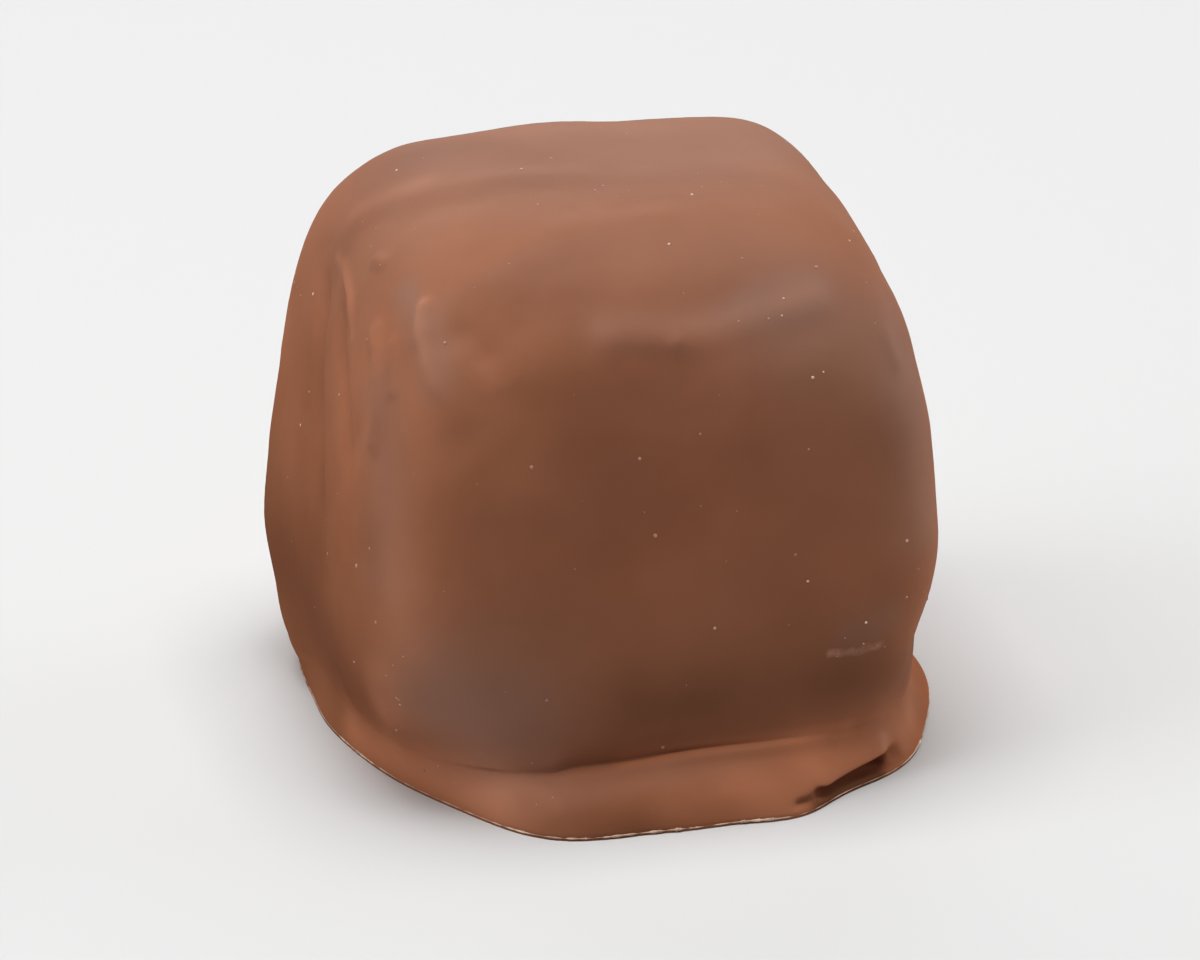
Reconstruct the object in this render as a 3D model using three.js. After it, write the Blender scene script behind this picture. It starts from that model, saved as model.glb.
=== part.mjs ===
// Chocolate sponge candy: one cube of aerated toffee, enrobed all over in milk chocolate and left to
// set on a flat surface, where the coating ran out into a low foot. Millimetres, +Z up, the front
// face towards -Y. The whole piece is one closed shell of chocolate around a filling that is unseen.

import * as THREE from 'three';
import { mergeVertices } from 'three/addons/utils/BufferGeometryUtils.js';

// Height of the coated cube from the surface it stands on to the middle of its top.
const HEIGHT = 32.9;

// How far each side stands from the middle at its belly, and how far it draws in at top and bottom.
const SIDES = {
  right: { reach: 17.15, belly: 13, lean: 1.6, tuck: 1.3, tuckPower: 2.2 },
  left: { reach: 17.65, belly: 9.7, lean: 3.3, tuck: 2.3, tuckPower: 2.2 },
  front: { reach: 16.9, belly: 13, lean: 3.2, tuck: 1.3, tuckPower: 3.2 },
  back: { reach: 15.8, belly: 13, lean: 2.2, tuck: 1.2, tuckPower: 2.2 },
};
const LEAN_POWER = 1.4;

// The plan is a superellipse: square with soft corners at the belly, rounder at the foot and on top.
// The front left corner is softer than the others.
const PLAN_POWER = 6.2;
const SOFT_CORNERS = [{ at: 225, spread: 34, by: -2.1 }];
const FOOT_POWER = 3.1;
const SQUARE_HEIGHT = 13;
const PLAN_EASE = 0.55;

// The shoulder is a superellipse too, from the end of the straight side to the middle of the top.
const SHOULDER_HEIGHT = 17.5;
const SHOULDER_POWER = 3.9;
const SIDE_SHARE = 0.36;

// The top isn't quite level: rise per millimetre towards +X and +Y.
const TOP_SLOPE = { x: -0.012, y: 0.010 };

// The crease where the side meets the foot, and the slight undercut above it.
const CREASE_HEIGHT = 3.1;
const CREASE_WAVES = [
  { at: 222, spread: 20, by: -0.35 },
  { at: 186, spread: 24, by: -0.9 },
  { at: 302, spread: 24, by: 0.25 },
  { at: 60, spread: 30, by: -0.8 },
  { at: 120, spread: 24, by: 0.2 },
];
const UNDERCUT = { depth: 0.12, reach: 1.6 };

// Low down the front left corner draws in further.
const DRAWN_IN = { below: 10, lobes: [{ at: 224, spread: 18, by: 2.7 }] };

// How slack the foot's section hangs: 0 is a bulging bead, 0.5 a straight slope, 1 a hollow flare.
const SLACK = 0.5;
const SLACK_LOBES = [
  { at: 160, spread: 18, by: 0.15 },
  { at: 228, spread: 16, by: -0.2 },
  { at: 264, spread: 20, by: -0.36 },
  { at: 318, spread: 14, by: 0.18 },
  { at: 340, spread: 24, by: 0.25 },
];

// The foot's rim: its radius from the middle, and the lobes where more or less coating ran out.
const RIM_RADIUS = 18.6;
const RIM_HEIGHT = 0.3;
const RIM_LOBES = [
  { at: 166, spread: 14, by: -0.6 },
  { at: 194, spread: 36, by: -2.0 },
  { at: 249, spread: 16, by: 2.0 },
  { at: 272, spread: 9, by: 0.7 },
  { at: 288, spread: 10, by: 1.75 },
  { at: 312, spread: 16, by: 1.55 },
  { at: 340, spread: 20, by: 0.6 },
  { at: 40, spread: 18, by: 1.2 },
  { at: 88, spread: 26, by: 0.4 },
  { at: 133, spread: 16, by: 1.0 },
];

// Soft marks in the coating. Each is a chain of points, how wide it is, and how far it stands out.
const MARKS = [
  { name: 'left face, rear run', width: 1.3, by: -0.3,
    along: [[-14.9, 6.6, 26.5], [-15.6, 3.2, 24.0], [-16.5, 0.6, 19.8], [-17.4, -3.8, 11.5]] },
  { name: 'left face, front run', width: 1.5, by: -0.4,
    along: [[-14.7, 3.2, 26.2], [-15.6, -1.8, 23.5], [-16.5, -7.6, 19.9], [-16.6, -13.2, 13.8]] },
  { name: 'corner nub', width: 1.6, by: 0.6,
    along: [[-13.2, -10.1, 29.6], [-13.2, -12.3, 28.1], [-13.0, -14.2, 25.6]] },
  { name: 'nub, trailing band', width: 1.3, by: 0.28,
    along: [[-13.0, -10.8, 27.9], [-12.9, -12.2, 26.5], [-12.5, -13.6, 25.2]] },
  { name: 'nub, end of the band', width: 2.6, by: 0.26,
    along: [[-12.6, -13.0, 25.4], [-12.5, -14.8, 21.6]] },
  { name: 'dent beside the nub', width: 1.9, by: -0.25,
    along: [[-10.6, -11.2, 30.1], [-9.4, -12.4, 29.0]] },
  { name: 'nub, hollow beside it', width: 1.2, by: -0.42,
    along: [[-11.5, -10.6, 28.5], [-10.9, -11.4, 28.0], [-10.3, -12.8, 26.8]] },
  { name: 'nub, foot of the hollow', width: 2.2, by: -0.22,
    along: [[-10.0, -12.6, 27.2], [-9.4, -14.8, 23.4]] },
  { name: 'top, left crest', width: 1.2, by: 0.2,
    along: [[-13.0, 4.6, 29.3], [-10.8, 1.9, 31.4], [-6.6, -0.6, 32.9], [-2.0, -1.6, 33.1]] },
  { name: 'top, left hollow', width: 1.3, by: -0.12,
    along: [[-11.0, -0.8, 31.2], [-8.0, -2.6, 32.4]] },
  { name: 'top, near crest', width: 1.4, by: 0.2,
    along: [[-9.2, -9.8, 30.8], [-4.9, -8.5, 32.1], [1.4, -7.6, 32.4]] },
  { name: 'top, cross crest', width: 3.5, by: 0.13,
    along: [[-5.0, 0.6, 33.0], [8.0, 1.6, 33.0]] },
  { name: 'rear of the top, hollow', width: 3.4, by: -0.25,
    along: [[4.0, 9.0, 32.2], [7.0, 8.6, 32.1]] },
  { name: 'front shoulder, crest', width: 1.2, by: 0.22,
    along: [[-2.9, -13.8, 27.8], [3.0, -13.9, 27.7], [9.0, -12.9, 28.5]] },
  { name: 'front shoulder, fullness', width: 1.9, by: 0.28,
    along: [[-6.6, -13.8, 27.0], [1.8, -14.0, 26.8], [8.5, -14.4, 26.7]] },
  { name: 'front shoulder, dent', width: 1.2, by: -0.26,
    along: [[-1.9, -14.1, 27.3], [1.0, -14.6, 25.8]] },
  { name: 'front shoulder, foot of the dent', width: 1.8, by: -0.2,
    along: [[-0.6, -14.9, 25.2], [0.8, -15.2, 23.4]] },
  { name: 'front shoulder, right of the dent', width: 2.4, by: 0.3,
    along: [[4.0, -14.7, 25.6], [8.5, -14.7, 25.8]] },
  { name: 'hollow of the front face', width: 8.5, by: -0.4,
    along: [[-3.0, -17.0, 15.5], [6.0, -17.0, 13.5]] },
  { name: 'front face, left pillow', width: 2.6, by: 0.15,
    along: [[-12.2, -15.0, 22.0], [-12.8, -16.4, 12.0]] },
  { name: 'front face, right pillow', width: 2.4, by: 0.15,
    along: [[12.6, -14.6, 22.0], [13.2, -16.0, 12.0]] },
  { name: 'rear left shoulder, fullness', width: 3.6, by: 0.3,
    along: [[-9.5, 10.0, 30.7], [-12.6, 11.0, 28.6]] },
  { name: 'rear left side, flat', width: 3.0, by: -0.17,
    along: [[-16.0, 11.4, 22.0], [-16.6, 11.6, 17.5]] },
  { name: 'rear left edge, swelling', width: 3.4, by: 0.46,
    along: [[-17.4, 9.6, 8.0], [-17.2, 9.0, 4.5]] },
  { name: 'rear left, filled crease', width: 2.2, by: 0.75,
    along: [[-16.6, 9.0, 2.4], [-16.4, 5.5, 2.4]] },
  { name: 'lower left corner, swelling', width: 1.2, by: 0.25,
    along: [[-16.1, -11.8, 7.8], [-14.8, -10.7, 4.3]] },
  { name: 'front left, filled crease', width: 1.2, by: 0.45,
    along: [[-13.7, -9.6, 2.5], [-12.3, -11.1, 2.7], [-9.1, -14.5, 2.9], [-7.2, -15.5, 3.0]] },
  { name: 'right shoulder, flat', width: 4.0, by: -0.45,
    along: [[16.0, -10.0, 24.6], [15.2, -8.2, 27.4]] },
  { name: 'rear right shoulder, fullness', width: 3.2, by: 0.26,
    along: [[14.2, 1.0, 29.0], [12.0, 8.2, 30.8]] },
  { name: 'front right edge, tuck', width: 3.2, by: -0.6,
    along: [[16.2, -12.4, 7.4], [16.0, -12.0, 5.6]] },
  { name: 'front right, filled crease', width: 2.0, by: 0.6,
    along: [[15.8, -12.6, 3.4], [17.6, -8.0, 3.0]] },
  { name: 'fold in the foot', width: 1.0, by: -1.25,
    along: [[7.6, -18.6, 0.7], [9.4, -17.6, 0.8], [10.8, -16.7, 0.9], [13.2, -15.1, 1.0]] },
  { name: 'right face, run', width: 1.6, by: -0.35,
    along: [[16.2, -6.0, 25.0], [17.0, -3.0, 17.0], [16.8, -4.0, 8.0]] },
  { name: 'right face, bulge', width: 4.5, by: 0.4,
    along: [[17.0, 6.0, 14.0], [17.0, 7.0, 19.0]] },
  { name: 'back face, run', width: 1.7, by: -0.4,
    along: [[5.0, 14.2, 26.0], [3.6, 15.8, 17.0], [5.2, 15.4, 8.0]] },
  { name: 'back face, bulge', width: 5.0, by: 0.4,
    along: [[-6.0, 15.8, 11.0], [-8.0, 15.6, 17.0]] },
];

// Slow unevenness of the coating: sine waves whose directions turn by the golden angle.
const WAVE = { count: 9, longest: 24, shrink: 0.86, height: 0.09 };
const GOLDEN_ANGLE = 2.39996;

// Mesh rows and columns.
const COLUMNS = 120;
const BODY_ROWS = 34;
const FOOT_ROWS = 8;
const ROWS = BODY_ROWS + FOOT_ROWS + 2;

const CHOCOLATE = { color: 0x955e43, roughness: 0.38, metalness: 0 };

const CENTRE = new THREE.Vector3(0, 0, HEIGHT / 2);

const { clamp, lerp, smoothstep, euclideanModulo, radToDeg } = THREE.MathUtils;

// A base value plus bell-shaped lobes around the azimuth, which is in radians.
function lobed(base, lobes, azimuth) {
  const degrees = radToDeg(azimuth);
  return lobes.reduce((sum, { at, spread, by }) => {
    const away = euclideanModulo(degrees - at + 180, 360) - 180;
    return sum + by * Math.exp(-((away / spread) ** 2));
  }, base);
}

// How far a side stands from the middle at height z.
function reachAt({ reach, belly, lean, tuck, tuckPower }, z) {
  const above = clamp((z - belly) / (HEIGHT - belly), 0, 1);
  const below = clamp((belly - z) / belly, 0, 1);
  return reach - lean * above ** LEAN_POWER - tuck * below ** tuckPower;
}

// Radius of a unit superellipse in the direction (cosine, sine).
function superellipse(cosine, sine, power) {
  return (Math.abs(cosine) ** power + Math.abs(sine) ** power) ** (-1 / power);
}

// The point of the plan at height z: share is 1 on the side and 0 in the middle of the top.
function planPoint(angle, z, share) {
  const squarest = lobed(PLAN_POWER, SOFT_CORNERS, angle);
  const sidePower = lerp(FOOT_POWER, squarest, smoothstep(z, 0, SQUARE_HEIGHT));
  const power = 2 + (sidePower - 2) * share ** PLAN_EASE;
  const cosine = Math.cos(angle);
  const sine = Math.sin(angle);
  const radius = share * superellipse(cosine, sine, power);
  return new THREE.Vector2(
    radius * cosine * reachAt(cosine > 0 ? SIDES.right : SIDES.left, z),
    radius * sine * reachAt(sine > 0 ? SIDES.back : SIDES.front, z),
  );
}

// The coated cube: climb is 0 at the crease above the foot and 1 in the middle of the top.
function bodyPoint(angle, climb) {
  const crease = lobed(CREASE_HEIGHT, CREASE_WAVES, angle);
  const shoulder = HEIGHT - SHOULDER_HEIGHT;
  let share = 1;
  let z = lerp(crease, shoulder, climb / SIDE_SHARE);
  if (climb > SIDE_SHARE) {
    const turn = (climb - SIDE_SHARE) / (1 - SIDE_SHARE) * Math.PI / 2;
    const radius = superellipse(Math.cos(turn), Math.sin(turn), SHOULDER_POWER);
    share = radius * Math.cos(turn);
    z = shoulder + SHOULDER_HEIGHT * radius * Math.sin(turn);
  }
  const plan = planPoint(angle, z, share);
  const undercut = UNDERCUT.depth * share * Math.exp(-(((z - crease) / UNDERCUT.reach) ** 2));
  const low = clamp(1 - z / DRAWN_IN.below, 0, 1);
  const drawnIn = lobed(0, DRAWN_IN.lobes, angle) * low ** 2;
  plan.setLength(Math.max(plan.length() - undercut - drawnIn, 0));
  const slope = (z / HEIGHT) ** 3;
  return new THREE.Vector3(plan.x, plan.y, z + slope * (TOP_SLOPE.x * plan.x + TOP_SLOPE.y * plan.y));
}

// The foot: spill is 0 at the crease and 1 at the rim. Its section is a quarter of an ellipse that
// bulges out, mixed with one that is hollow, by how slack the coating hung.
function footPoint(angle, spill) {
  const crease = bodyPoint(angle, 0);
  const azimuth = Math.atan2(crease.y, crease.x);
  const slack = lobed(SLACK, SLACK_LOBES, azimuth);
  const turn = spill * Math.PI / 2;
  const out = lerp(Math.sin(turn), 1 - Math.cos(turn), slack);
  const down = lerp(1 - Math.cos(turn), Math.sin(turn), slack);
  const radius = lerp(Math.hypot(crease.x, crease.y), lobed(RIM_RADIUS, RIM_LOBES, azimuth), out);
  const z = lerp(crease.z, RIM_HEIGHT, down);
  return new THREE.Vector3(radius * Math.cos(azimuth), radius * Math.sin(azimuth), z);
}

// Roughly the surface's own direction: out of a rounded box, not out of a ball.
function outward(point) {
  return new THREE.Vector3(
    (point.x / SIDES.right.reach) ** 3,
    (point.y / SIDES.front.reach) ** 3,
    ((point.z - CENTRE.z) / CENTRE.z) ** 3,
  ).normalize();
}

function distanceToChain(point, chain) {
  const nearest = new THREE.Vector3();
  const stretches = chain.slice(1).map((end, i) => {
    const line = new THREE.Line3(new THREE.Vector3(...chain[i]), new THREE.Vector3(...end));
    return line.closestPointToPoint(point, true, nearest).distanceTo(point);
  });
  return Math.min(...stretches);
}

function waveHeight(point) {
  let sum = 0;
  for (let i = 0; i < WAVE.count; i += 1) {
    const wavelength = WAVE.longest * WAVE.shrink ** i;
    const tilt = Math.cos(i * 1.7) * 0.8;
    const level = Math.sqrt(1 - tilt * tilt);
    const across = Math.cos(i * GOLDEN_ANGLE) * level * point.x
      + Math.sin(i * GOLDEN_ANGLE) * level * point.y + tilt * point.z;
    sum += WAVE.shrink ** i * Math.sin(2 * Math.PI * across / wavelength + i * i);
  }
  return WAVE.height * sum;
}

// Lays the marks and the unevenness on a smooth point. The underside and the rim stay as they are.
function uneven(point) {
  const relief = MARKS.reduce((sum, { along, width, by }) => (
    sum + by * Math.exp(-((distanceToChain(point, along) / width) ** 2))
  ), waveHeight(point));
  const settled = smoothstep(point.z, RIM_HEIGHT, CREASE_HEIGHT);
  const direction = outward(point);
  direction.z *= settled;
  return point.clone().addScaledVector(direction, relief * lerp(0.5, 1, settled));
}

// Row 0 is the middle of the top, the last row the middle of the underside.
function surfacePoint(angle, row) {
  if (row <= BODY_ROWS) return uneven(bodyPoint(angle, 1 - row / BODY_ROWS));
  if (row <= BODY_ROWS + FOOT_ROWS) return uneven(footPoint(angle, (row - BODY_ROWS) / FOOT_ROWS));
  if (row < ROWS) return uneven(footPoint(angle, 1)).setZ(0);
  return new THREE.Vector3(0, 0, 0);
}

// A ball's grid of columns and rows, with each of its points moved onto the candy's surface.
function candyGeometry() {
  const grid = new THREE.SphereGeometry(1, COLUMNS, ROWS);
  const { position, uv } = grid.attributes;
  for (let i = 0; i < position.count; i += 1) {
    const row = Math.round((1 - uv.getY(i)) * ROWS);
    const column = Math.round(uv.getX(i) * COLUMNS) % COLUMNS;
    const point = surfacePoint(column / COLUMNS * 2 * Math.PI, row);
    position.setXYZ(i, point.x, point.y, point.z);
  }
  grid.deleteAttribute('normal');
  grid.deleteAttribute('uv');
  const shell = mergeVertices(grid, 1e-4);
  shell.computeBoundingBox();
  const middle = shell.boundingBox.getCenter(new THREE.Vector3());
  shell.translate(-middle.x, -middle.y, 0);
  shell.computeVertexNormals();
  return shell;
}

const candy = new THREE.Mesh(candyGeometry(), new THREE.MeshStandardMaterial(CHOCOLATE));
candy.name = 'sponge_candy';

const part = new THREE.Group();
part.add(candy);

export default part;
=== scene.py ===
"""Chocolate sponge candy: one coated cube of toffee foam on the low foot that its coating ran into.

The milk chocolate is modelled as one closed skin with its runs, dents, crease and folded foot. Fine
things lie on it as pieces of their own: the pimples of trapped air, the crumbs of two scuffs, and
the pale flash that broke along the rim when the candy was lifted off its sheet. The pimples, the
bright specks and the flash are paler than the chocolate, partly as painted glints. The skin's
colour also carries painted light, painted shade and painted sheen.
"""

import logging
import math
from collections.abc import Sequence
from dataclasses import dataclass, field
from enum import Enum
from typing import Any

import bpy
import numpy as np
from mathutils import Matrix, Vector


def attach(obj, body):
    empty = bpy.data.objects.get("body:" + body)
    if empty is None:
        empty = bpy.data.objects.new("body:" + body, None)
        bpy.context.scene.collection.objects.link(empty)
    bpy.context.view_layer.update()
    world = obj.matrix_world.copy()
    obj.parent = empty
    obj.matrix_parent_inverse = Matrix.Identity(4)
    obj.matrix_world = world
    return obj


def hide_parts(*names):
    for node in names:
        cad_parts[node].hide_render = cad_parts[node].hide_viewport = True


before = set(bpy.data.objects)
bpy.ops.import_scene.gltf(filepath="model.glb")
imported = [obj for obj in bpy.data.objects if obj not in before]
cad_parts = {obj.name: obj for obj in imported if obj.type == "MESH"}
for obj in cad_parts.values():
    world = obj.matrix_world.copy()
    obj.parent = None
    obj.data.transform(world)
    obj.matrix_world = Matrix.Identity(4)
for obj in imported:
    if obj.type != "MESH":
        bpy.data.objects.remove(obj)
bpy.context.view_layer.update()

MM = 0.001
NODE = "sponge_candy"
BODY = "root"
GOLDEN_ANGLE = 2.39996
SPLINE_STEPS = 4
ROUND_POWER = 2.0
TINY = 1e-9
FULL_SPIN = (6.28, 6.28, 6.28)

log = logging.getLogger("sponge_candy")

Colour = tuple[float, float, float]
Place = tuple[float, float, float]


class Slot(Enum):
    """Material slots of the record."""

    MILK_CHOCOLATE = "milk_chocolate"


class SkinMap(Enum):
    """Values that each point of the skin carries, by attribute name."""

    LOOSE = "loose"
    POLISHED = "polished"
    SCUFFED = "scuffed"
    # Painted sheen: how far the colour is painted towards a greyish soft reflection.
    BLOOM = "painted_sheen"
    # Painted light and shade: how much lighter or darker the colour is painted at each point.
    PAINTED_LIGHT_AND_SHADE = "tone"


# Form of the candy, in millimetres ----------------------------------------------------------------


def mix(low: Any, high: Any, share: Any) -> Any:
    """Value between low and high at share, 0 to 1."""
    return low + (high - low) * share


def ease(value: Any, start: float, end: float) -> Any:
    """Smooth step from 0 at start to 1 at end."""
    share = np.clip((value - start) / (end - start), 0.0, 1.0)
    return share * share * (3.0 - 2.0 * share)


def superellipse(cosine: np.ndarray, sine: np.ndarray, power: Any) -> np.ndarray:
    """Radius of a unit superellipse in the direction (cosine, sine)."""
    return (np.abs(cosine) ** power + np.abs(sine) ** power) ** (-1.0 / power)


@dataclass(frozen=True)
class Side:
    """One side of the cube: its reach at the belly, and how far it draws in at top and bottom."""

    reach: float
    belly: float
    lean: float
    tuck: float
    lean_power: float = 1.4
    tuck_power: float = 2.2

    def at(self, z: np.ndarray, height: float) -> np.ndarray:
        """Distance from the middle at height z."""
        above = np.clip((z - self.belly) / (height - self.belly), 0.0, 1.0)
        below = np.clip((self.belly - z) / self.belly, 0.0, 1.0)
        return self.reach - self.lean * above**self.lean_power - self.tuck * below**self.tuck_power


@dataclass(frozen=True)
class Lobe:
    """A bell-shaped rise around the azimuth: where it is and its spread in degrees, and its height."""

    at: float
    spread: float
    by: float


def lobed(base: float, lobes: Sequence[Lobe], azimuth: np.ndarray) -> np.ndarray:
    """A base value plus lobes.

    Args:
        base: The value away from every lobe.
        lobes: The rises around it.
        azimuth: Directions in radians.

    Returns:
        The value in each direction.
    """
    total = np.full(np.shape(azimuth), base, float)
    for lobe in lobes:
        away = (np.degrees(azimuth) - lobe.at + 180.0) % 360.0 - 180.0
        total += lobe.by * np.exp(-((away / lobe.spread) ** 2))
    return total


@dataclass(frozen=True)
class Mark:
    """A soft mark in the coating: its half width, how much it adds, and the points it runs through.

    A mark with a taper, a length in millimetres, fades towards both of its ends.
    """

    name: str
    width: float
    by: float
    through: tuple[Place, ...]
    taper: float = 0.0

    def curve(self) -> np.ndarray:
        """The smooth curve through the mark's own points.

        Returns:
            Points along a Catmull-Rom spline.
        """
        stops = np.array(self.through, float)
        if len(stops) < 3:
            return stops
        ends = np.concatenate([[2.0 * stops[0] - stops[1]], stops, [2.0 * stops[-1] - stops[-2]]])
        share = np.arange(SPLINE_STEPS)[:, None] / SPLINE_STEPS
        stretches = [
            near + share / 2.0 * (far - before + share * (
                2.0 * before - 5.0 * near + 4.0 * far - after
                + share * (3.0 * (near - far) + after - before)))
            for before, near, far, after in zip(ends, ends[1:], ends[2:], ends[3:])
        ]
        return np.concatenate([*stretches, stops[-1:]])

    def strength(self, points: np.ndarray) -> np.ndarray:
        """How much of the mark each point feels.

        Args:
            points: The points.

        Returns:
            The share, 1 on the mark's curve and fading away from it.
        """
        curve = self.curve()
        nearest = np.linalg.norm(points - curve[0], axis=-1)
        to_start = np.zeros_like(nearest)
        length = 0.0
        for start, end in zip(curve[:-1], curve[1:]):
            run = end - start
            share = np.clip((points - start) @ run / (run @ run), 0.0, 1.0)
            away = np.linalg.norm(points - start - share[..., None] * run, axis=-1)
            to_start = np.where(away < nearest, length + share * np.linalg.norm(run), to_start)
            nearest = np.minimum(nearest, away)
            length += float(np.linalg.norm(run))
        felt = np.exp(-((nearest / self.width) ** 2))
        if self.taper:
            felt *= ease(np.minimum(to_start, length - to_start), 0.0, self.taper)
        return felt


def laid(marks: Sequence[Mark], points: np.ndarray) -> np.ndarray:
    """What the marks add up to at each point."""
    return sum(mark.by * mark.strength(points) for mark in marks)


SHOULDER_BAND = ((-3.4, -13.3, 28.5), (0.4, -13.6, 28.3), (3.0, -13.4, 28.5), (9.0, -12.4, 29.3))
RIGHT_EDGE = ((14.1, -14.2, 23.3), (15.0, -14.8, 15.5))
DRIP_STREAK = ((-9.5, -14.5, 2.2), (-8.3, -16.0, 1.9), (-7.3, -17.5, 1.3))

# Reliefs in millimetres: the main marks move the smooth form, and the fine ones lie on the result.
MAIN_MARKS = (
    Mark("left face, rear run", 1.3, -0.24,
         ((-14.9, 6.6, 26.5), (-15.6, 3.2, 24.0), (-16.5, 0.6, 19.8), (-17.1, -2.0, 15.5),
          (-17.4, -3.8, 11.5))),
    Mark("left face, front run", 1.6, -0.3,
         ((-14.7, 3.2, 26.2), (-15.6, -1.8, 23.5), (-16.4, -6.6, 20.5))),
    Mark("left face, end of the front run", 1.9, -0.15, ((-16.5, -7.6, 19.9), (-17.1, -10.4, 15.4))),
    Mark("corner nub", 1.6, 0.5, ((-13.2, -10.1, 29.6), (-13.2, -12.3, 28.1), (-13.0, -14.2, 25.6))),
    Mark("dent beside the nub", 1.9, -0.25, ((-10.6, -11.2, 30.1), (-9.4, -12.4, 29.0))),
    Mark("hollow of the front face", 8.5, -0.4, ((-3.0, -17.0, 15.5), (6.0, -17.0, 13.5))),
    Mark("rear left shoulder, fullness", 3.6, 0.3, ((-9.5, 10.0, 30.7), (-12.6, 11.0, 28.6))),
    Mark("rear left side, flat", 3.0, -0.17, ((-16.0, 11.4, 22.0), (-16.6, 11.6, 17.5))),
    Mark("rear left edge, swelling", 3.4, 0.46, ((-17.4, 9.6, 8.0), (-17.2, 9.0, 4.5))),
    Mark("rear left, filled crease", 2.2, 0.75, ((-16.6, 9.0, 2.4), (-16.4, 5.5, 2.4))),
    Mark("right shoulder, flat", 4.0, -0.45, ((16.0, -10.0, 24.6), (15.2, -8.2, 27.4))),
    Mark("rear right shoulder, fullness", 3.2, 0.26, ((14.2, 1.0, 29.0), (12.0, 8.2, 30.8))),
    Mark("rear of the top, hollow", 3.4, -0.25, ((4.0, 9.0, 32.2), (7.0, 8.6, 32.1))),
    Mark("front right edge, tuck", 3.2, -0.6, ((16.2, -12.4, 7.4), (16.0, -12.0, 5.6))),
    Mark("front right, filled crease", 2.0, 0.6, ((15.8, -12.6, 3.4), (17.6, -8.0, 3.0))),
    Mark("front left, filled crease", 1.2, 0.45,
         ((-13.7, -9.6, 2.5), (-12.3, -11.1, 2.7), (-10.8, -12.9, 2.8), (-9.1, -14.5, 2.9),
          (-7.2, -15.5, 3.0))),
    Mark("right face, run", 1.6, -0.35, ((16.2, -6.0, 25.0), (17.0, -3.0, 17.0), (16.8, -4.0, 8.0))),
    Mark("right face, bulge", 4.5, 0.4, ((17.0, 6.0, 14.0), (17.0, 7.0, 19.0))),
    Mark("back face, run", 1.7, -0.4, ((5.0, 14.2, 26.0), (3.6, 15.8, 17.0), (5.2, 15.4, 8.0))),
    Mark("back face, bulge", 5.0, 0.4, ((-6.0, 15.8, 11.0), (-8.0, 15.6, 17.0))),
)

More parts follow.
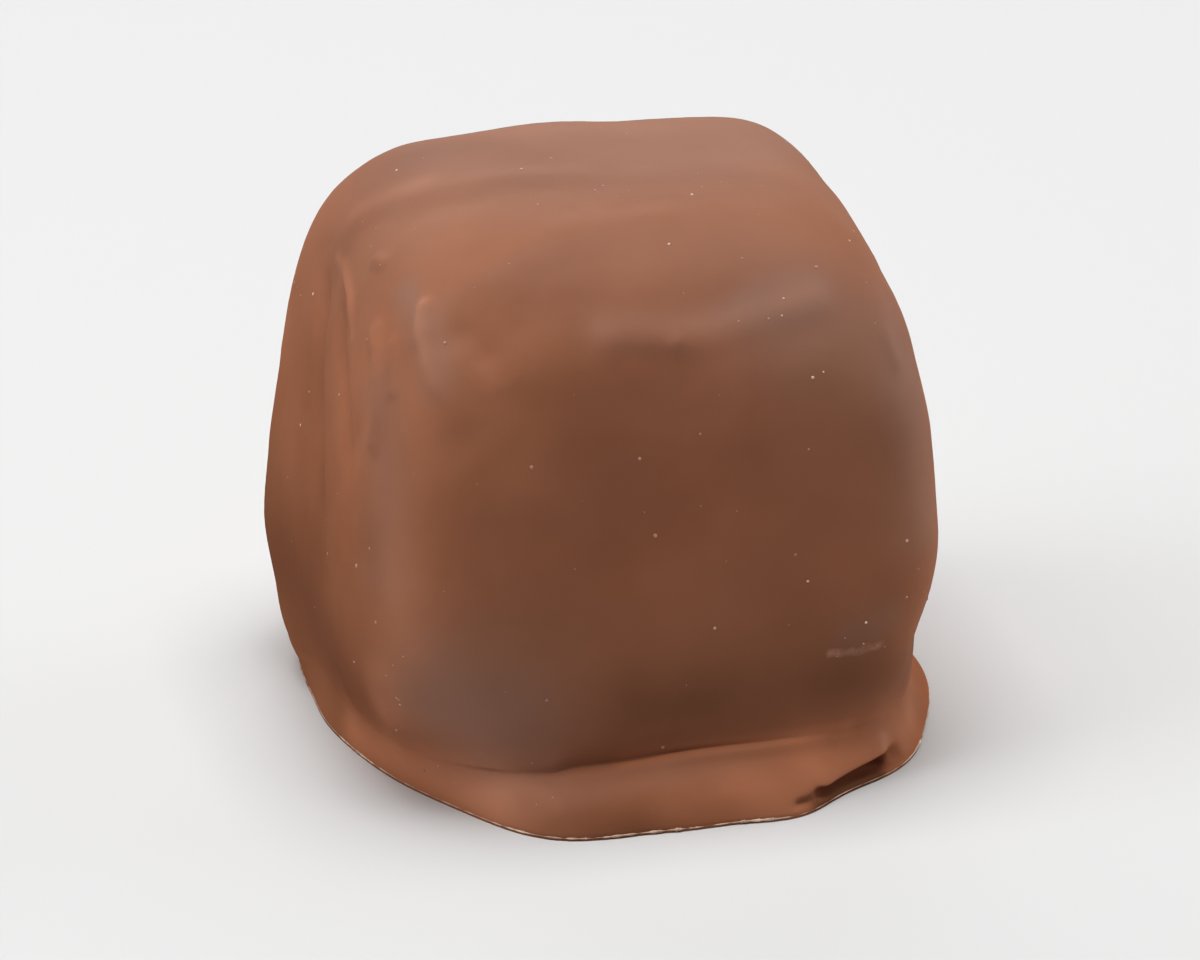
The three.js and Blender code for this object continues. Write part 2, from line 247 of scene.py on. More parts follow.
FINE_MARKS = (
    Mark("left face, rear groove", 0.55, -0.44,
         ((-14.8, 6.9, 26.3), (-15.3, 4.2, 24.2), (-16.3, 1.3, 20.3), (-16.9, -1.6, 17.0),
          (-17.3, -3.2, 12.2)), taper=3.6),
    Mark("left face, front groove", 0.5, -0.5,
         ((-14.5, 2.9, 26.3), (-15.1, 0.6, 24.9), (-15.6, -1.9, 23.2), (-16.0, -4.4, 21.6),
          (-16.6, -8.2, 17.4)), taper=4.0),
    Mark("front groove, lip", 0.42, 0.26,
         ((-14.4, 4.6, 27.0), (-14.3, 2.8, 26.9), (-14.7, -0.4, 26.4), (-15.4, -2.7, 25.2)), taper=2.2),
    Mark("blister under the shoulder", 0.75, 0.34, ((-14.8, -6.2, 26.6),)),
    Mark("streak under the blister", 0.6, 0.3,
         ((-14.9, -7.0, 26.1), (-15.1, -7.8, 25.6), (-15.5, -9.3, 23.6), (-15.8, -9.8, 21.6))),
    Mark("streak beside the blister", 0.45, 0.18, ((-14.3, -8.6, 26.8), (-14.7, -10.2, 24.7))),
    Mark("dabs on the left shoulder", 0.45, 0.2, ((-13.5, -1.3, 29.0), (-13.3, -2.5, 29.2))),
    Mark("nub, crest", 0.5, 0.38,
         ((-12.6, -9.3, 29.0), (-13.0, -10.4, 28.1), (-13.2, -11.6, 27.3), (-13.1, -12.4, 26.3),
          (-12.8, -13.3, 25.6))),
    Mark("nub, trailing band", 1.2, 0.26,
         ((-13.0, -10.8, 27.9), (-12.8, -12.4, 26.4), (-12.3, -14.0, 24.4))),
    Mark("nub, end of the band", 2.6, 0.26, ((-12.6, -13.0, 25.4), (-12.5, -14.8, 21.6))),
    Mark("nub, hollow beside it", 1.1, -0.36,
         ((-11.8, -10.0, 28.9), (-11.1, -11.0, 28.4), (-10.4, -12.2, 27.6), (-9.5, -14.0, 25.6)),
         taper=2.4),
    Mark("nub, foot of the hollow", 2.0, -0.22,
         ((-10.4, -11.6, 28.4), (-9.6, -13.6, 26.2), (-9.0, -15.2, 22.8), (-8.8, -15.9, 18.5)),
         taper=4.5),
    Mark("top, left crest", 1.2, 0.24,
         ((-13.0, 4.6, 29.3), (-12.2, 3.9, 30.3), (-10.8, 1.9, 31.4), (-8.9, 0.2, 32.3),
          (-6.6, -0.6, 32.9), (-2.0, -1.6, 33.1))),
    Mark("top, left hollow", 1.3, -0.12, ((-11.0, -0.8, 31.2), (-8.0, -2.6, 32.4))),
    Mark("top, near crest", 1.4, 0.2,
         ((-9.2, -9.8, 30.8), (-7.3, -9.2, 31.6), (-4.9, -8.5, 32.1), (-2.2, -7.9, 32.3),
          (1.4, -7.6, 32.4))),
    Mark("top, cross crest", 3.5, 0.13, ((-5.0, 4.4, 33.0), (8.0, 4.8, 33.0))),
    Mark("shoulder, crest of the band", 1.0, 0.17,
         ((-2.9, -13.8, 27.8), (0.3, -14.0, 27.7), (3.0, -13.9, 27.7), (6.6, -13.3, 28.2),
          (9.0, -12.9, 28.5))),
    Mark("shoulder, fullness below it", 2.1, 0.26,
         ((-6.6, -13.8, 27.0), (-2.9, -14.0, 27.0), (1.8, -14.2, 26.5), (8.5, -14.7, 25.9))),
    Mark("shoulder, dent under the band", 1.1, -0.16,
         ((-1.9, -14.1, 27.3), (-0.3, -14.4, 26.8), (1.0, -14.6, 25.8))),
    Mark("shoulder, foot of the dent", 1.8, -0.14, ((-0.6, -14.9, 25.2), (0.8, -15.2, 23.4))),
    Mark("shoulder, right of the dent", 3.0, 0.34, ((4.6, -15.3, 23.0), (9.5, -15.3, 23.4))),
    Mark("bead over the dent", 0.42, 0.26, ((0.6, -14.2, 27.5),)),
    Mark("front face, left pillow", 2.6, 0.15, ((-12.2, -15.0, 22.0), (-12.8, -16.4, 12.0))),
    Mark("front face, right pillow", 2.4, 0.15, ((12.6, -14.6, 22.0), (13.2, -16.0, 12.0))),
    Mark("right edge, lip", 0.5, 0.12, ((13.1, -13.4, 26.4), (13.5, -14.0, 25.0))),
    Mark("left foot, soft crease", 0.95, -0.15,
         ((-16.8, -4.4, 4.8), (-16.2, -4.9, 3.2), (-14.9, -7.6, 2.2), (-13.8, -10.0, 2.2))),
    Mark("lower left corner, swelling", 1.2, 0.25,
         ((-16.1, -11.8, 7.8), (-15.5, -11.1, 5.9), (-14.8, -10.7, 4.3))),
    Mark("foot, drip streak", 0.42, 0.22, DRIP_STREAK),
    Mark("foot, left blister", 0.5, 0.2, ((-3.4, -18.4, 1.2),)),
    Mark("foot, right blister", 0.55, 0.25, ((2.3, -18.4, 1.25), (2.6, -18.4, 1.25))),
    Mark("fold in the foot, left end", 0.34, -0.6, ((6.6, -19.3, 0.5), (8.0, -18.5, 0.55))),
    Mark("fold in the foot", 0.48, -2.4,
         ((8.4, -18.3, 0.5), (9.7, -17.4, 0.6), (11.0, -16.6, 0.72), (12.5, -15.6, 0.8))),
    Mark("fold in the foot, right end", 0.55, -0.7, ((12.8, -15.4, 0.8), (13.6, -14.8, 0.85))),
    Mark("fold in the foot, upper lip", 0.58, 0.72,
         ((8.6, -17.8, 1.3), (10.2, -16.9, 1.55), (11.7, -16.0, 1.75), (12.6, -15.4, 1.85))),
    Mark("fold in the foot, ends of the lip", 0.8, 0.22, ((7.2, -18.4, 1.2), (13.9, -14.4, 1.9))),
)

# Shares of the finish: how scuffed the skin is, its painted light and painted shade, and its painted
# sheen.
SCUFFS = (
    Mark("corner rub", 0.9, 0.8, ((-16.7, -12.8, 7.9), (-15.9, -13.2, 6.4), (-15.3, -13.4, 5.0))),
    Mark("corner rub, upper specks", 0.9, 0.45, ((-16.6, -13.6, 9.1), (-16.1, -14.6, 9.3))),
    Mark("front smear", 0.42, 0.9, ((9.0, -16.5, 8.6), (10.4, -16.5, 8.45), (12.2, -16.2, 8.6))),
    Mark("specks over the smear", 0.9, 0.4, ((10.2, -16.4, 10.9), (11.6, -16.3, 10.3))),
)

# Painted light and shade: a positive mark lightens the colour where light falls or a highlight shows, a
# negative one darkens it where shade falls, in creases, hollows and on the low sides.
PAINTED_LIGHT_AND_SHADE_MARKS = (
    Mark("left foot, painted light", 1.9, 0.6,
         ((-16.2, -5.0, 1.0), (-15.0, -9.0, 1.2), (-12.8, -12.4, 1.3), (-10.4, -15.4, 1.5))),
    Mark("lip of the groove, painted light", 0.4, 0.22,
         ((-14.4, 4.6, 27.0), (-14.4, 3.2, 26.7), (-14.8, -0.5, 26.6), (-15.4, -2.7, 25.2))),
    Mark("nub, painted light", 0.5, 0.24,
         ((-12.7, -9.0, 29.4), (-13.2, -10.0, 28.5), (-13.4, -11.6, 27.4))),
    Mark("left shoulder, painted shade", 4.5, -0.07, ((-12.5, 3.0, 29.5), (-12.5, -3.0, 29.5))),
    Mark("left crest, painted light", 1.0, 0.13,
         ((-13.2, 5.2, 29.4), (-11.9, 3.6, 30.6), (-9.9, 2.1, 31.9))),
    Mark("behind the left crest, painted shade", 1.8, -0.08,
         ((-11.4, 9.0, 30.4), (-8.6, 6.2, 32.2), (-5.0, 3.6, 33.0))),
    Mark("middle of the top, painted shade", 1.8, -0.06,
         ((-5.4, -1.5, 33.1), (2.5, -3.0, 33.0), (9.3, -3.9, 32.3))),
    Mark("far edge of the top, painted light", 1.4, 0.05, ((-2.5, 5.4, 33.2), (4.5, 5.0, 32.9))),
    Mark("lower front of the foot, painted shade", 1.3, -0.19, ((-7.8, -18.6, 0.8), (-3.0, -19.4, 0.8))),
    Mark("front of the foot, painted light", 1.4, 0.1, ((-2.0, -18.6, 1.2), (5.0, -18.8, 1.0))),
    Mark("right front of the foot, painted light", 1.6, 0.22, ((3.6, -18.0, 1.8), (7.4, -17.2, 2.2))),
    Mark("drip streak, painted light", 0.6, 0.25, DRIP_STREAK),
    Mark("floor of the fold, painted shade", 0.6, -0.7,
         ((7.8, -18.9, 0.45), (9.8, -17.5, 0.4), (11.0, -16.8, 0.4), (12.3, -16.0, 0.4))),
    Mark("ridge of the foot, painted light", 0.45, 0.3,
         ((-3.1, -16.7, 3.4), (1.7, -16.6, 3.55), (6.5, -16.4, 3.55), (10.4, -15.5, 3.45))),
    Mark("foot under the ridge, painted shade", 0.45, -0.12,
         ((-3.1, -17.0, 2.75), (1.7, -17.0, 2.85), (6.5, -16.8, 2.85), (9.4, -16.2, 2.8))),
    Mark("right end of the foot, painted light", 1.8, 0.34,
         ((8.4, -16.4, 2.6), (11.2, -15.6, 2.2), (13.1, -14.4, 1.9), (15.0, -11.5, 1.2))),
    Mark("front left edge, painted light band", 2.2, 0.2,
         ((-15.0, -12.8, 25.0), (-15.6, -13.7, 19.7), (-15.9, -14.4, 11.0))),
    Mark("lower left corner, painted light band", 1.3, 0.3,
         ((-16.0, -12.6, 8.3), (-15.6, -12.1, 7.0), (-15.3, -11.2, 5.2))),
    Mark("shoulder band, painted light", 1.2, 0.1, SHOULDER_BAND),
    Mark("under the shoulder band, painted light", 1.3, 0.07, ((0.6, -14.5, 26.8), (3.6, -14.7, 26.5))),
    Mark("beside the nub, painted shade", 1.0, -0.08, ((-12.0, -9.2, 29.2), (-11.2, -10.4, 28.8))),
    Mark("right edge, painted light", 1.9, 0.1, RIGHT_EDGE),
    Mark("front strip of the left face, painted light", 1.2, 0.09,
         ((-14.9, -7.2, 26.0), (-15.6, -8.8, 22.5), (-15.9, -10.4, 18.5))),
    Mark("low strip of the left face, painted shade", 1.1, -0.1,
         ((-16.2, -9.8, 19.3), (-16.3, -11.3, 16.2), (-16.4, -12.2, 13.5))),
    Mark("left side, painted shade", 3.0, -0.12,
         ((-16.4, 1.5, 20.1), (-17.0, -3.0, 17.2), (-17.3, -3.1, 12.2))),
    Mark("low left side, painted shade", 6.0, -0.42,
         ((-17.4, 9.0, 8.0), (-17.4, -1.0, 7.0), (-17.0, -5.0, 6.0))),
    Mark("above the foot, painted shade", 2.6, -0.3,
         ((-2.0, -16.5, 6.6), (3.6, -16.6, 6.6), (10.7, -16.4, 6.6), (14.3, -13.8, 5.8),
          (16.8, -9.0, 6.0))),
)

# Painted sheen: a greyish colour painted where a soft reflection shows on the top, the shoulder, the
# nub and the edges.
PAINTED_SHEEN_MARKS = (
    Mark("top haze", 13.0, 1.0, ((-2.0, 3.0, 33.0), (4.0, 3.0, 33.0))),
    Mark("shoulder haze", 1.3, 0.4, SHOULDER_BAND),
    Mark("nub haze", 1.1, 0.65, ((-13.1, -6.8, 29.2), (-12.9, -10.7, 27.9), (-12.6, -12.7, 25.9))),
    Mark("front left edge haze", 2.2, 0.45,
         ((-15.3, -9.5, 24.0), (-15.5, -11.7, 20.0), (-15.8, -12.5, 15.0))),
    Mark("lower left haze", 4.6, 1.0, ((-12.6, -15.8, 7.2), (-10.6, -16.2, 6.2))),
    Mark("upper right haze", 4.4, 0.7, ((8.0, -13.2, 27.6), (12.6, -12.6, 26.0))),
    Mark("right edge haze", 2.3, 0.75, RIGHT_EDGE),
    Mark("haze over the smear", 1.3, 0.5, ((10.4, -16.4, 9.4), (12.4, -16.2, 10.2))),
    Mark("rear of the top", 6.0, 0.8, ((-4.0, 8.0, 32.4), (9.0, 8.0, 32.4))),
    Mark("back face haze", 9.0, 0.35, ((2.0, 15.8, 18.0),)),
)


@dataclass
class CandyForm:
    """The candy's outer surface as formulas: driving dimensions in millimetres, front towards -Y."""

    height: float = 32.9
    right: Side = Side(reach=17.15, belly=13.0, lean=1.6, tuck=1.3)
    left: Side = Side(reach=17.65, belly=9.7, lean=3.3, tuck=2.3)
    front: Side = Side(reach=16.9, belly=13.0, lean=3.2, tuck=1.3, tuck_power=3.2)
    back: Side = Side(reach=15.8, belly=13.0, lean=2.2, tuck=1.2)
    plan_power: float = 6.2
    foot_power: float = 3.1
    square_height: float = 13.0
    soft_corners: tuple[Lobe, ...] = (Lobe(225, 34, -2.1),)
    plan_ease: float = 0.55
    shoulder_height: float = 17.5
    shoulder_power: float = 3.9
    side_share: float = 0.36
    top_slope: tuple[float, float] = (-0.012, 0.010)
    crease_height: float = 3.1
    crease_waves: tuple[Lobe, ...] = (
        Lobe(222, 20, -0.35), Lobe(186, 24, -0.9), Lobe(284, 22, 0.18), Lobe(302, 24, 0.25),
        Lobe(60, 30, -0.8), Lobe(120, 24, 0.2),
    )
    undercut_depth: float = 0.06
    undercut_reach: float = 1.6
    drawn_in_below: float = 10.0
    drawn_in: tuple[Lobe, ...] = (Lobe(224, 18, 2.7),)
    slack: float = 0.5
    flare: tuple[Lobe, ...] = (
        Lobe(160, 18, 0.15), Lobe(340, 24, 0.25), Lobe(318, 14, 0.18), Lobe(228, 16, -0.2),
        Lobe(264, 20, -0.36),
    )
    rim_height: float = 0.3
    rim_clearance: float = 1.5
    rim_unevenness: float = 0.5
    rim_radius: float = 18.6
    rim_lobes: tuple[Lobe, ...] = (
        Lobe(194, 36, -2.0), Lobe(166, 14, -0.6), Lobe(249, 16, 2.0), Lobe(272, 9, 0.7),
        Lobe(288, 10, 1.75), Lobe(312, 16, 1.55), Lobe(340, 20, 0.6), Lobe(40, 18, 1.2),
        Lobe(88, 26, 0.4), Lobe(133, 16, 1.0),
    )
    lip_height: float = 0.16
    lip_at: float = 0.13
    lip_spread: float = 0.08
    lip_lobes: tuple[Lobe, ...] = (Lobe(285, 42, 1.0), Lobe(75, 50, 0.7))
    wave_count: int = 9
    wave_longest: float = 24.0
    wave_shrink: float = 0.86
    wave_height: float = 0.09
    wave_tilt: float = 0.8
    wave_nod: float = 1.7
    marks: tuple[Mark, ...] = field(default=MAIN_MARKS, repr=False)
    fine_marks: tuple[Mark, ...] = field(default=FINE_MARKS, repr=False)

    def plan(self, angle: np.ndarray, z: np.ndarray, share: np.ndarray) -> np.ndarray:
        """Points of the plan at height z.

        Args:
            angle: Direction of each point in radians.
            z: Its height.
            share: 1 on the side, 0 in the middle of the top.

        Returns:
            X and Y of each point.
        """
        squarest = lobed(self.plan_power, self.soft_corners, angle)
        side_power = mix(self.foot_power, squarest, ease(z, 0.0, self.square_height))
        power = ROUND_POWER + (side_power - ROUND_POWER) * np.clip(share, 0.0, 1.0) ** self.plan_ease
        cosine, sine = np.cos(angle), np.sin(angle)
        radius = share * superellipse(cosine, sine, power)
        across = np.where(cosine > 0, self.right.at(z, self.height), self.left.at(z, self.height))
        deep = np.where(sine > 0, self.back.at(z, self.height), self.front.at(z, self.height))
        return np.stack([radius * cosine * across, radius * sine * deep], axis=-1)

    def body(self, angle: np.ndarray, climb: np.ndarray) -> np.ndarray:
        """Points of the coated cube.

        Args:
            angle: Direction of each point in radians.
            climb: 0 at the crease, 1 in the middle of the top.

        Returns:
            X, Y and Z of each point.
        """
        crease = lobed(self.crease_height, self.crease_waves, angle)
        shoulder = self.height - self.shoulder_height
        turn = np.clip((climb - self.side_share) / (1.0 - self.side_share), 0.0, 1.0) * math.pi / 2.0
        radius = superellipse(np.cos(turn), np.sin(turn), self.shoulder_power)
        on_side = climb <= self.side_share
        share = np.where(on_side, 1.0, radius * np.cos(turn))
        z = np.where(
            on_side,
            mix(crease, shoulder, climb / self.side_share),
            shoulder + self.shoulder_height * radius * np.sin(turn),
        )
        flat = self.plan(angle, z, share)
        distance = np.linalg.norm(flat, axis=-1)
        undercut = self.undercut_depth * share * np.exp(-(((z - crease) / self.undercut_reach) ** 2))
        low = np.clip(1.0 - z / self.drawn_in_below, 0.0, 1.0)
        undercut = undercut + lobed(0.0, self.drawn_in, angle) * low**2
        flat = flat * (np.maximum(distance - undercut, 0.0) / np.maximum(distance, TINY))[..., None]
        slope = (z / self.height) ** 3 * (flat @ np.array(self.top_slope))
        return np.concatenate([flat, (z + slope)[..., None]], axis=-1)

    def foot(self, angle: np.ndarray, spill: np.ndarray) -> np.ndarray:
        """Points of the foot.

        Args:
            angle: Direction of each point in radians.
            spill: 0 at the crease, 1 at the rim.

        Returns:
            X, Y and Z of each point.
        """
        crease = self.body(angle, np.zeros_like(angle))
        azimuth = np.arctan2(crease[..., 1], crease[..., 0])
        flare = lobed(self.slack, self.flare, azimuth)
        turn = spill * math.pi / 2.0
        out = mix(np.sin(turn), 1.0 - np.cos(turn), flare)
        down = mix(1.0 - np.cos(turn), np.sin(turn), flare)
        rim = lobed(self.rim_radius, self.rim_lobes, azimuth)
        radius = mix(np.hypot(crease[..., 0], crease[..., 1]), rim, out)
        lip = np.exp(-(((spill - self.lip_at) / self.lip_spread) ** 2))
        lip = self.lip_height * lobed(0.0, self.lip_lobes, azimuth) * lip
        z = mix(crease[..., 2], self.rim_height, down) + lip
        return np.stack([radius * np.cos(azimuth), radius * np.sin(azimuth), z], axis=-1)

    def outward(self, points: np.ndarray) -> np.ndarray:
        """Roughly the surface's own direction, out of a rounded box.

        Args:
            points: Points on the surface.

        Returns:
            A unit vector for each.
        """
        middle = self.height / 2.0
        scaled = (points - (0.0, 0.0, middle)) / (self.right.reach, self.front.reach, middle)
        cubed = scaled**3
        return cubed / np.maximum(np.linalg.norm(cubed, axis=-1, keepdims=True), TINY)

    def waves(self, points: np.ndarray) -> np.ndarray:
        """Slow unevenness of the coating: sine waves whose directions turn by the golden angle.

        Args:
            points: Points on the surface.

        Returns:
            How far each of them stands out.
        """
        total = np.zeros(points.shape[:-1])
        for i in range(self.wave_count):
            tilt = math.cos(i * self.wave_nod) * self.wave_tilt
            level = math.sqrt(1.0 - tilt * tilt)
            heading = (math.cos(i * GOLDEN_ANGLE) * level, math.sin(i * GOLDEN_ANGLE) * level, tilt)
            wavelength = self.wave_longest * self.wave_shrink**i
            phase = 2.0 * math.pi * (points @ np.array(heading)) / wavelength + i * i
            total += self.wave_shrink**i * np.sin(phase)
        return self.wave_height * total

    def raised(
        self, points: np.ndarray, relief: Any, marks: Sequence[Mark], felt: np.ndarray,
    ) -> np.ndarray:
        """Points pushed out by a relief and by marks, and only sideways at the rim.

        Args:
            points: The points.
            relief: How far each point moves away from every mark.
            marks: What is added to that.
            felt: Share of the sum that each point feels.

        Returns:
            The moved points.
        """
        for mark in marks:
            relief = relief + mark.by * mark.strength(points)
        direction = self.outward(points)
        direction[..., 2] *= ease(points[..., 2], self.rim_height, self.crease_height)
        return points + direction * (relief * felt)[..., None]

    def uneven(self, points: np.ndarray) -> np.ndarray:
        """Lays the unevenness and the marks on smooth points, and the fine marks on those.

        Args:
            points: The smooth points.

        Returns:
            The moved points.
        """
        settled = ease(points[..., 2], self.rim_height, self.crease_height)
        points = self.raised(points, self.waves(points), self.marks,
                             mix(self.rim_unevenness, 1.0, settled))
        above_rim = ease(points[..., 2], self.rim_height, self.rim_clearance * self.rim_height)
        return self.raised(points, 0.0, self.fine_marks, above_rim)

    def rings(self, columns: int, body_rows: int, foot_rows: int) -> np.ndarray:
        """Rings of points from the underside's edge up to just below the middle of the top.

        Args:
            columns: Points in each ring.
            body_rows: Steps from the crease to the middle of the top.
            foot_rows: Steps from the rim to the crease.

        Returns:
            An array of rings, columns and X, Y, Z.
        """
        angle = np.arange(columns) / columns * 2.0 * math.pi
        spills = np.linspace(1.0, 0.0, foot_rows + 1)[:-1]
        climbs = np.linspace(0.0, 1.0, body_rows + 1)[:-1]
        foot = [self.foot(angle, np.full(columns, spill)) for spill in spills]
        body = [self.body(angle, np.full(columns, climb)) for climb in climbs]
        shaped = self.uneven(np.array(foot + body))
        base = shaped[0] * (1.0, 1.0, 0.0)
        return np.concatenate([base[None], shaped])

    def apex(self) -> np.ndarray:
        """The middle of the top."""
        return self.uneven(self.body(np.zeros(1), np.ones(1)))[0]


# Nodes --------------------------------------------------------------------------------------------


def live(sockets: Any, key: str | int) -> bpy.types.NodeSocket:
    """The socket of that place, or the one in use that has that name."""
    if isinstance(key, int):
        return sockets[key]
    return next(socket for socket in sockets if socket.name == key and socket.enabled)


class NodeSheet:
    """A node tree that is filled from the script."""

    def __init__(self, tree: bpy.types.NodeTree) -> None:
        """Takes the tree to fill."""
        self.tree = tree

    def feed(self, node: bpy.types.Node, feeds: dict[str | int, Any]) -> None:
        """Feeds a node.

        Args:
            node: The node.
            feeds: What each of its inputs gets: another node's output socket, or a value.
        """
        for key, value in feeds.items():
            socket = live(node.inputs, key)
            if isinstance(value, bpy.types.NodeSocket):
                self.tree.links.new(value, socket)
            else:
                socket.default_value = value

    def add(
        self, kind: str, feeds: dict[str | int, Any] | None = None, **settings: Any,
    ) -> bpy.types.Node:
        """Adds a node.

        Args:
            kind: The node's type.
            feeds: What its inputs get.
            settings: The node's own properties.

        Returns:
            The new node.
        """
        node = self.tree.nodes.new(kind)
        for name, value in settings.items():
            setattr(node, name, value)
        self.feed(node, feeds or {})
        return node

    def math(
        self, operation: str, first: Any, second: Any = 0.0, third: Any = 0.0,
    ) -> bpy.types.NodeSocket:
        """Adds a Math node and returns its result."""
        feeds = {0: first, 1: second, 2: third}
        return self.add("ShaderNodeMath", feeds, operation=operation).outputs[0]

    def noise(
        self, point: Any, scale: Any, detail: float, roughness: float = 0.5,
    ) -> bpy.types.NodeSocket:
        """Adds a noise, from 0 to 1, and returns its value."""
        feeds = {"Vector": point, "Scale": scale, "Detail": detail, "Roughness": roughness}
        return self.add("ShaderNodeTexNoise", feeds).outputs[0]

    def spread(
        self, value: Any, start: float, end: float, low: Any = 0.0, high: Any = 1.0,
    ) -> bpy.types.NodeSocket:
        """Adds a Map Range of start to end onto low to high and returns its result."""
        feeds = {"Value": value, "From Min": start, "From Max": end, "To Min": low, "To Max": high}
        return self.add("ShaderNodeMapRange", feeds).outputs[0]

    def blend(self, share: Any, low: Any, high: Any) -> bpy.types.NodeSocket:
        """Adds a mix of two colours and returns its result."""
        return self.add("ShaderNodeMix", {0: share, 6: low, 7: high}, data_type="RGBA").outputs[2]


class GroupSheet(NodeSheet):
    """A node group with named inputs and outputs."""

    def __init__(self, name: str, kind: str) -> None:
        """Makes an empty group of that name and tree type."""
        super().__init__(bpy.data.node_groups.new(name, kind))
        self.entry = self.tree.nodes.new("NodeGroupInput")
        self.exit = self.tree.nodes.new("NodeGroupOutput")

    def inputs(self, kind: str, *names: str) -> list[bpy.types.NodeSocket]:
        """Adds named inputs.

        Args:
            kind: The type of their sockets, such as Float.
            names: Their names.

        Returns:
            The sockets that bring them in.
        """
        for name in names:
            self.tree.interface.new_socket(name=name, in_out="INPUT", socket_type=f"NodeSocket{kind}")
        return [live(self.entry.outputs, name) for name in names]

    def output(self, name: str, kind: str, source: bpy.types.NodeSocket) -> None:
        """Adds a named output fed by source."""
        self.tree.interface.new_socket(name=name, in_out="OUTPUT", socket_type=f"NodeSocket{kind}")
        self.tree.links.new(source, live(self.exit.inputs, name))


class GeometrySheet(GroupSheet):
    """A Geometry Nodes tree that takes a geometry and ends in Realize Instances and Set Material."""

    def __init__(self, name: str) -> None:
        """Makes the tree with its geometry and material inputs."""
        super().__init__(name, "GeometryNodeTree")
        self.geometry, = self.inputs("Geometry", "Geometry")
        self.material, = self.inputs("Material", "Material")

    def finish(self, geometry: bpy.types.NodeSocket) -> bpy.types.NodeTree:
        """Ends the tree.

        Args:
            geometry: What it ends with.

        Returns:
            The tree.
        """
        real = self.add("GeometryNodeRealizeInstances", {"Geometry": geometry}).outputs[0]
        dressed = self.add("GeometryNodeSetMaterial", {"Geometry": real, "Material": self.material})
        self.output("Geometry", "Geometry", dressed.outputs[0])
        return self.tree

    def attribute(self, name: str, kind: str = "FLOAT") -> bpy.types.NodeSocket:
        """The value that the geometry carries under that name."""
        node = self.add("GeometryNodeInputNamedAttribute", {"Name": name}, data_type=kind)
        return live(node.outputs, "Attribute")

    def chance(self, low: Any, high: Any, seed: Any, kind: str = "FLOAT") -> bpy.types.NodeSocket:
        """A random value between low and high for each point."""
        feeds = {"Min": low, "Max": high, "Seed": seed}
        return live(self.add("FunctionNodeRandomValue", feeds, data_type=kind).outputs, "Value")

    def domes(self, points: Any, rotation: Any, size: Any, flatness: Any) -> bpy.types.NodeSocket:
        """Low domes on points.

        Args:
            points: Where they stand.
            rotation: Turns each dome's Z axis to the surface's direction.
            size: Radius of each dome.
            flatness: Height of a dome over its radius.

        Returns:
            The instances.
        """
        ball = self.add("GeometryNodeMeshIcoSphere", {"Radius": 1.0, "Subdivisions": 2})
        smooth = self.add("GeometryNodeSetShadeSmooth", {"Geometry": ball.outputs["Mesh"]})
        height = self.math("MULTIPLY", size, flatness)
        scale = self.add("ShaderNodeCombineXYZ", {"X": size, "Y": size, "Z": height})
        return self.add("GeometryNodeInstanceOnPoints", {
            "Points": points, "Instance": smooth.outputs[0], "Rotation": rotation,
            "Scale": scale.outputs[0],
        }).outputs[0]


def linked(name: str, data: Any) -> bpy.types.Object:
    """A new object of that name and data, in the scene."""
    made = bpy.data.objects.new(name, data)
    bpy.context.scene.collection.objects.link(made)
    return made


def carry(mesh: bpy.types.Mesh, name: str, values: np.ndarray) -> None:
    """Writes a value on each vertex of a mesh.

    Args:
        mesh: The mesh.
        name: The name that it carries the values under.
        values: A number for each vertex, or a row of three.
    """
    kind, key = ("FLOAT_VECTOR", "vector") if values.ndim > 1 else ("FLOAT", "value")
    mesh.attributes.new(name, kind, "POINT").data.foreach_set(key, values.ravel().astype(np.float32))


def grown(
    name: str, mesh: bpy.types.Mesh, tree: bpy.types.NodeTree, values: dict[str, Any],
) -> bpy.types.Object:
    """Runs a Geometry Nodes tree on a mesh and keeps the result as a plain mesh object.

    Args:
        name: The new piece's name.
        mesh: What the tree starts from.
        tree: The Geometry Nodes tree.
        values: A value for each named input.

    Returns:
        The new piece, at the origin.
    """
    piece = linked(name, mesh)
    modifier = piece.modifiers.new(tree.name, "NODES")
    modifier.node_group = tree
    for item in tree.interface.items_tree:
        if item.in_out == "INPUT" and item.name in values:
            modifier[item.identifier] = values[item.name]
    bpy.context.view_layer.update()
    evaluated = piece.evaluated_get(bpy.context.evaluated_depsgraph_get())
    plain = bpy.data.meshes.new_from_object(evaluated)
    piece.modifiers.clear()
    piece.data = plain
    plain.name = name
    return piece


# Finishes -----------------------------------------------------------------------------------------


def mottle_group() -> bpy.types.NodeTree:
    """Node group: a colour that drifts between two tones in soft patches.

    Returns:
        The group.
    """
    sheet = GroupSheet("mottle", "ShaderNodeTree")
    point, = sheet.inputs("Vector", "Point")
    deep, pale = sheet.inputs("Color", "Deep", "Pale")
    scale, = sheet.inputs("Float", "Patches per metre")
    share = sheet.spread(sheet.noise(point, scale, detail=3.0, roughness=0.45), start=0.3, end=0.7)
    sheet.output("Colour", "Color", sheet.blend(share, deep, pale))
    return sheet.tree


def satin_group() -> bpy.types.NodeTree:
    """Node group: the fine grain of set chocolate, as a roughness and a height.

    Returns:
        The group.
    """
    waves_per_metre, waves_share, grains_share = 210.0, 0.6, 0.4
    sheet = GroupSheet("satin", "ShaderNodeTree")
    point, = sheet.inputs("Vector", "Point")
    smoothest, roughest, scale = sheet.inputs("Float", "Smoothest", "Roughest", "Grains per metre")
    broad = sheet.noise(point, waves_per_metre, detail=2.0)
    fine = sheet.noise(point, scale, detail=2.0, roughness=0.6)
    both = sheet.math("MULTIPLY_ADD", fine, grains_share, sheet.math("MULTIPLY", broad, waves_share))
    rough = sheet.spread(both, start=0.35, end=0.65, low=smoothest, high=roughest)
    sheet.output("Roughness", "Float", rough)
    sheet.output("Height", "Float", fine)
    return sheet.tree


